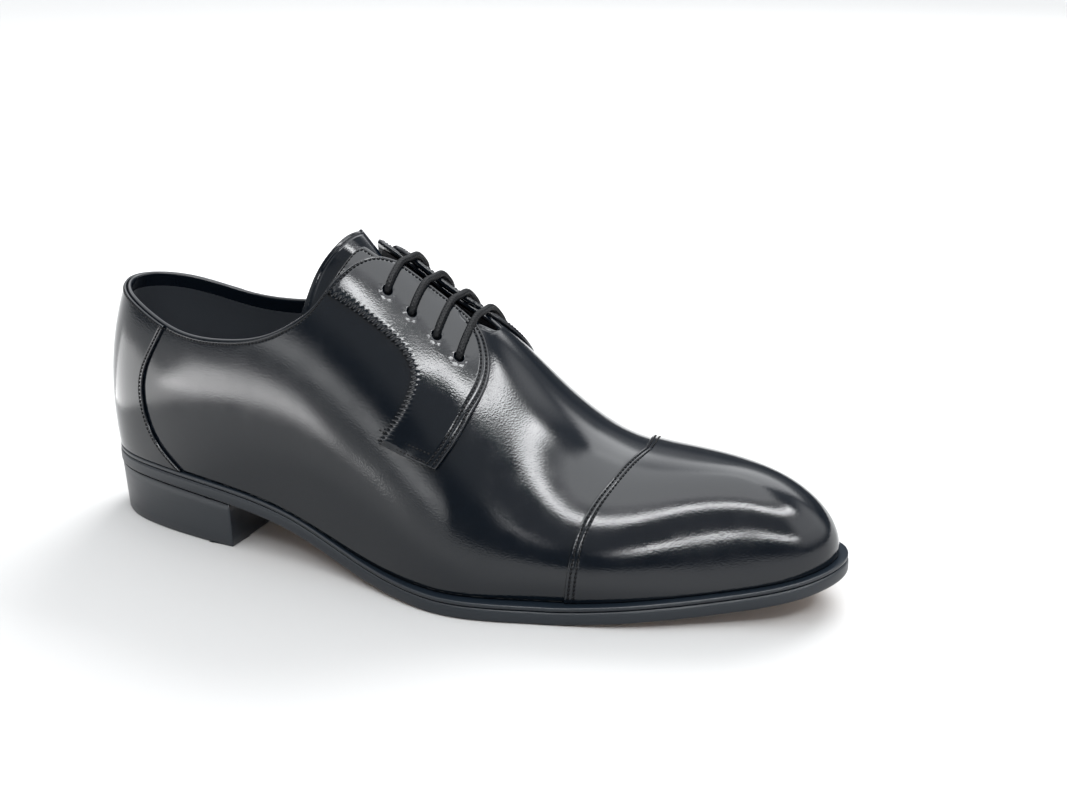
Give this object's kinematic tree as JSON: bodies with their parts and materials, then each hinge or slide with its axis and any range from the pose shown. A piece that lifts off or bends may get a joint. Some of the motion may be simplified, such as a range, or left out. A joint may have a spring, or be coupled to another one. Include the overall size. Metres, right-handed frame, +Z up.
{
  "type": "dress shoe",
  "caption": "Black leather cap-toe dress shoe for the right foot, open laced, with applied lacing facings, a back strip, a leather sole with a welt, and a low heel.",
  "frame": {"origin": "on the floor plane, under the middle of the shoe's bounding box", "axes": "+X from the heel to the toe, +Y to the inner side of the foot, +Z up"},
  "size_m": [0.3064, 0.1094, 0.1241],
  "materials": {
    "polished_leather": "brushed-off black calf leather, glossy",
    "lining": "matte black lining leather",
    "edge": "black edge dressing, satin",
    "sole": "tan leather sole with a black dressed edge, satin",
    "lace_cord": "round waxed cotton cord, matte"
  },
  "bodies": {
    "root": {"outsole": "sole", "heel": "edge", "welt": "edge", "insole": "lining", "upper": "polished_leather", "toe_cap": "polished_leather", "back_strip": "polished_leather", "facing_right": "polished_leather", "facing_left": "polished_leather", "tongue": "polished_leather", "lace": "lace_cord"}
  },
  "joints": []
}
